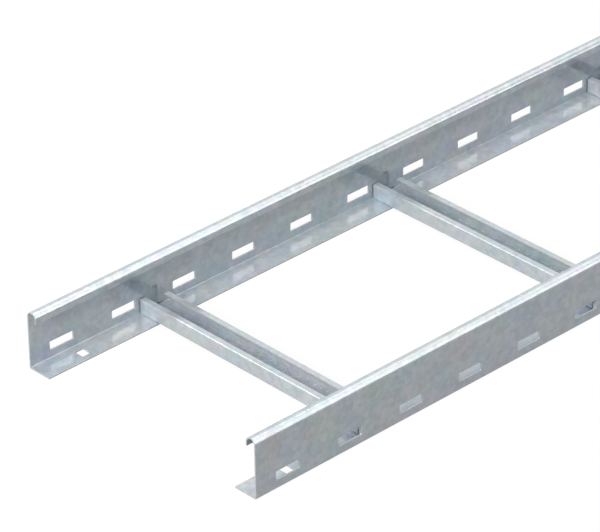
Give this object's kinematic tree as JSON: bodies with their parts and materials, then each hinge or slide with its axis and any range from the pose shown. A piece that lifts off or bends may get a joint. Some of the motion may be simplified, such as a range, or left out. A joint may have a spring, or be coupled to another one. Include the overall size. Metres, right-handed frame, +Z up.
{
  "type": "cable ladder section",
  "caption": "Straight cable ladder section: two curled-edge sheet rails with a row of slots and an inward foot flange, joined by open channel rungs.",
  "frame": {"origin": "middle of the underside: halfway along the length, midway between the rails, at the level the flanges stand on", "axes": "+X along the rails towards the end away from the first rung's short overhang, +Y across to the left rail, +Z up, the way the curled edges stand"},
  "size_m": [3, 0.3, 0.061],
  "materials": {
    "galvanised_rail": "galvanised sheet, faint spangle, satin to glossy",
    "galvanised_rung": "galvanised sheet, faint spangle, satin to glossy"
  },
  "bodies": {
    "root": {"rail_left": "galvanised_rail", "rail_right": "galvanised_rail", "rung_01": "galvanised_rung", "rung_02": "galvanised_rung", "rung_03": "galvanised_rung", "rung_04": "galvanised_rung", "rung_05": "galvanised_rung", "rung_06": "galvanised_rung", "rung_07": "galvanised_rung", "rung_08": "galvanised_rung", "rung_09": "galvanised_rung", "rung_10": "galvanised_rung"}
  },
  "joints": []
}
